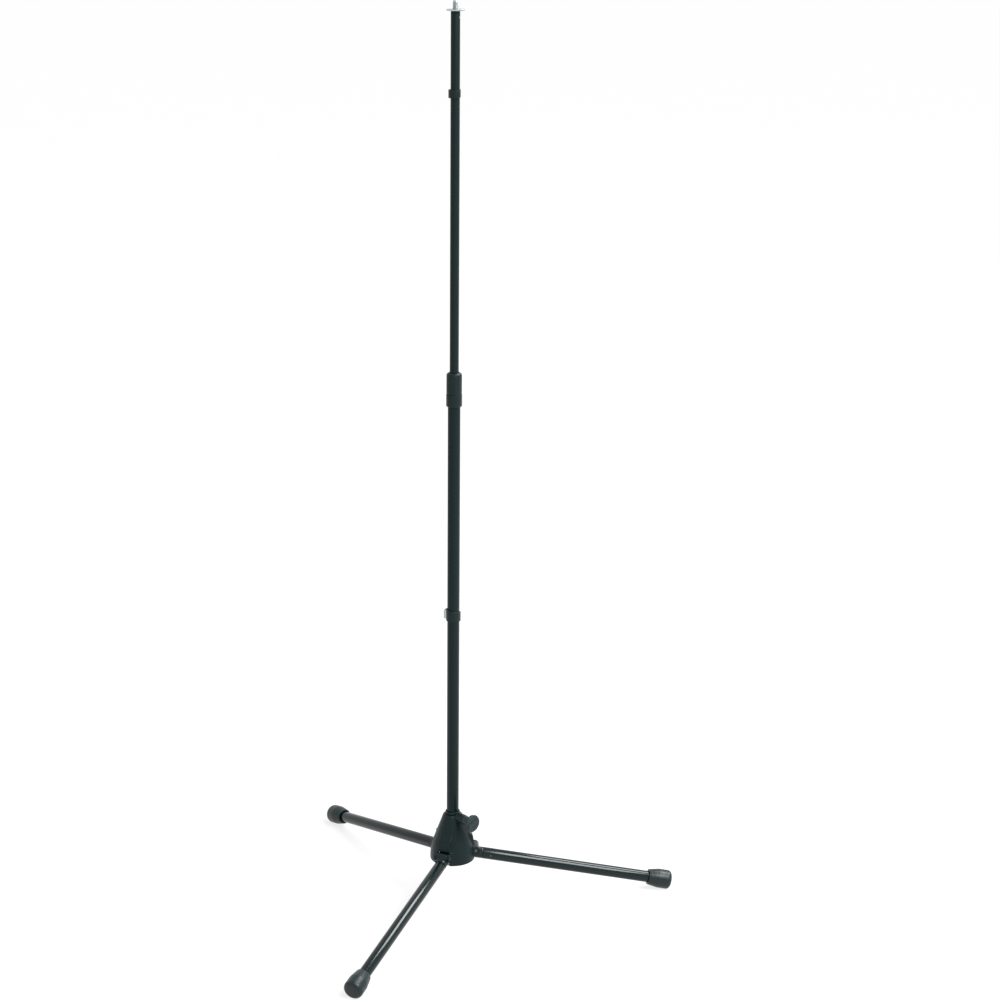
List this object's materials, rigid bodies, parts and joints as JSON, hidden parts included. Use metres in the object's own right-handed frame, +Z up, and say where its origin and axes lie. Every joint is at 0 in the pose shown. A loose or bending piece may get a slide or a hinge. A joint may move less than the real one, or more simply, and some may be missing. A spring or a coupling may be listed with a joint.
{
  "type": "microphone stand",
  "caption": "Straight microphone stand: a telescoping mast on a hub with folding tubular legs, rubber feet, a hand-turned height clutch and cable clips.",
  "frame": {"origin": "bottom centre of the bounding box of the open stand at its full height; the mast's axis stands 96.1 mm from it towards -X", "axes": "+Z up along the mast, +X along leg 1 away from the mast; the picture was taken from almost -Y"},
  "size_m": [0.6225, 0.7148, 1.605],
  "materials": {
    "black_cast": "satin black powder coat on die castings",
    "black_paint": "semi-gloss black coat on the steel mast tubes",
    "gloss_paint": "gloss black coat on the steel leg tubes",
    "black_plastic": "satin black moulded plastic",
    "black_rubber": "dull black rubber",
    "zinc": "bright zinc-plated steel",
    "dark_steel": "dark oxidised steel"
  },
  "bodies": {
    "base": {"hub": "black_cast", "neck_bush": "black_plastic", "leg_pin_1": "dark_steel", "leg_pin_2": "dark_steel", "leg_pin_3": "dark_steel"},
    "leg_1": {"leg_knuckle_1": "black_cast", "leg_tube_1": "gloss_paint", "leg_rivet_1": "dark_steel", "leg_foot_1": "black_rubber"},
    "leg_2": {"leg_knuckle_2": "black_cast", "leg_tube_2": "gloss_paint", "leg_rivet_2": "dark_steel", "leg_foot_2": "black_rubber"},
    "leg_3": {"leg_knuckle_3": "black_cast", "leg_tube_3": "gloss_paint", "leg_rivet_3": "dark_steel", "leg_foot_3": "black_rubber"},
    "mast": {"lower_tube": "black_paint", "spreader_cone": "black_plastic", "spreader_pin": "dark_steel", "clutch_housing": "black_plastic"},
    "upper_mast": {"upper_tube": "black_paint", "guide_plug": "black_plastic", "guide_plug_pin": "dark_steel", "thread_stud": "zinc", "stud_pin": "zinc"},
    "clutch_collet": {"clutch_collet": "black_plastic"},
    "clutch_grip": {"clutch_grip": "black_plastic"},
    "clamp_pad": {"clamp_pad": "black_plastic"},
    "clamp_knob": {"clamp_knob": "black_plastic", "clamp_screw": "zinc"},
    "lock_disc": {"lock_disc": "zinc"},
    "upper_clip": {"upper_clip": "black_plastic", "upper_clip_hook": "zinc", "upper_clip_rivet": "dark_steel"},
    "lower_clip": {"lower_clip": "black_plastic", "lower_clip_hook": "zinc", "lower_clip_rivet": "dark_steel"}
  },
  "joints": [
    {"name": "leg_1_fold", "type": "hinge", "parent": "base", "child": "leg_1", "pos_m": [-0.0551, 0, 0.098], "axis": [0, -1, 0], "range_deg": [0, 101.66]},
    {"name": "leg_2_fold", "type": "hinge", "parent": "base", "child": "leg_2", "pos_m": [-0.1166, 0.03551, 0.098], "axis": [0.866, 0.5, 0], "range_deg": [0, 101.66]},
    {"name": "leg_3_fold", "type": "hinge", "parent": "base", "child": "leg_3", "pos_m": [-0.1166, -0.03551, 0.098], "axis": [-0.866, 0.5, 0], "range_deg": [0, 101.66]},
    {"name": "mast_lift", "type": "slide", "parent": "base", "child": "mast", "axis": [0, 0, 1], "range_m": [0, 0.022]},
    {"name": "height_slide", "type": "slide", "parent": "mast", "child": "upper_mast", "axis": [0, 0, 1], "range_m": [-0.455, 0]},
    {"name": "clutch_turn", "type": "hinge", "parent": "clutch_collet", "child": "clutch_grip", "pos_m": [-0.0961, 0, 0.967], "axis": [0, 0, 1], "range_deg": [0, 180]},
    {"name": "clutch_travel", "type": "slide", "parent": "mast", "child": "clutch_collet", "axis": [0, 0, 1], "range_m": [0, 0.001]},
    {"name": "clamp_turn", "type": "hinge", "parent": "clamp_pad", "child": "clamp_knob", "pos_m": [-0.0961, 0, 0.1662], "axis": [0.5736, -0.8192, 0], "range_deg": [0, 720]},
    {"name": "clamp_travel", "type": "slide", "parent": "base", "child": "clamp_pad", "axis": [0.5736, -0.8192, 0], "range_m": [0, 0.0025]},
    {"name": "lock_disc_turn", "type": "hinge", "parent": "upper_mast", "child": "lock_disc", "pos_m": [-0.0961, 0, 1.58875], "axis": [0, 0, 1], "continuous": true},
    {"name": "upper_clip_turn", "type": "hinge", "parent": "upper_mast", "child": "upper_clip", "pos_m": [-0.0961, 0, 1.4544], "axis": [0, 0, 1], "continuous": true},
    {"name": "lower_clip_turn", "type": "hinge", "parent": "mast", "child": "lower_clip", "pos_m": [-0.0961, 0, 0.5494], "axis": [0, 0, 1], "continuous": true}
  ],
  "couplings": [
    {"joint": "clutch_turn", "follows": "clutch_travel", "rad_per_m": 3141.6},
    {"joint": "clamp_turn", "follows": "clamp_travel", "rad_per_m": 5026.5}
  ]
}
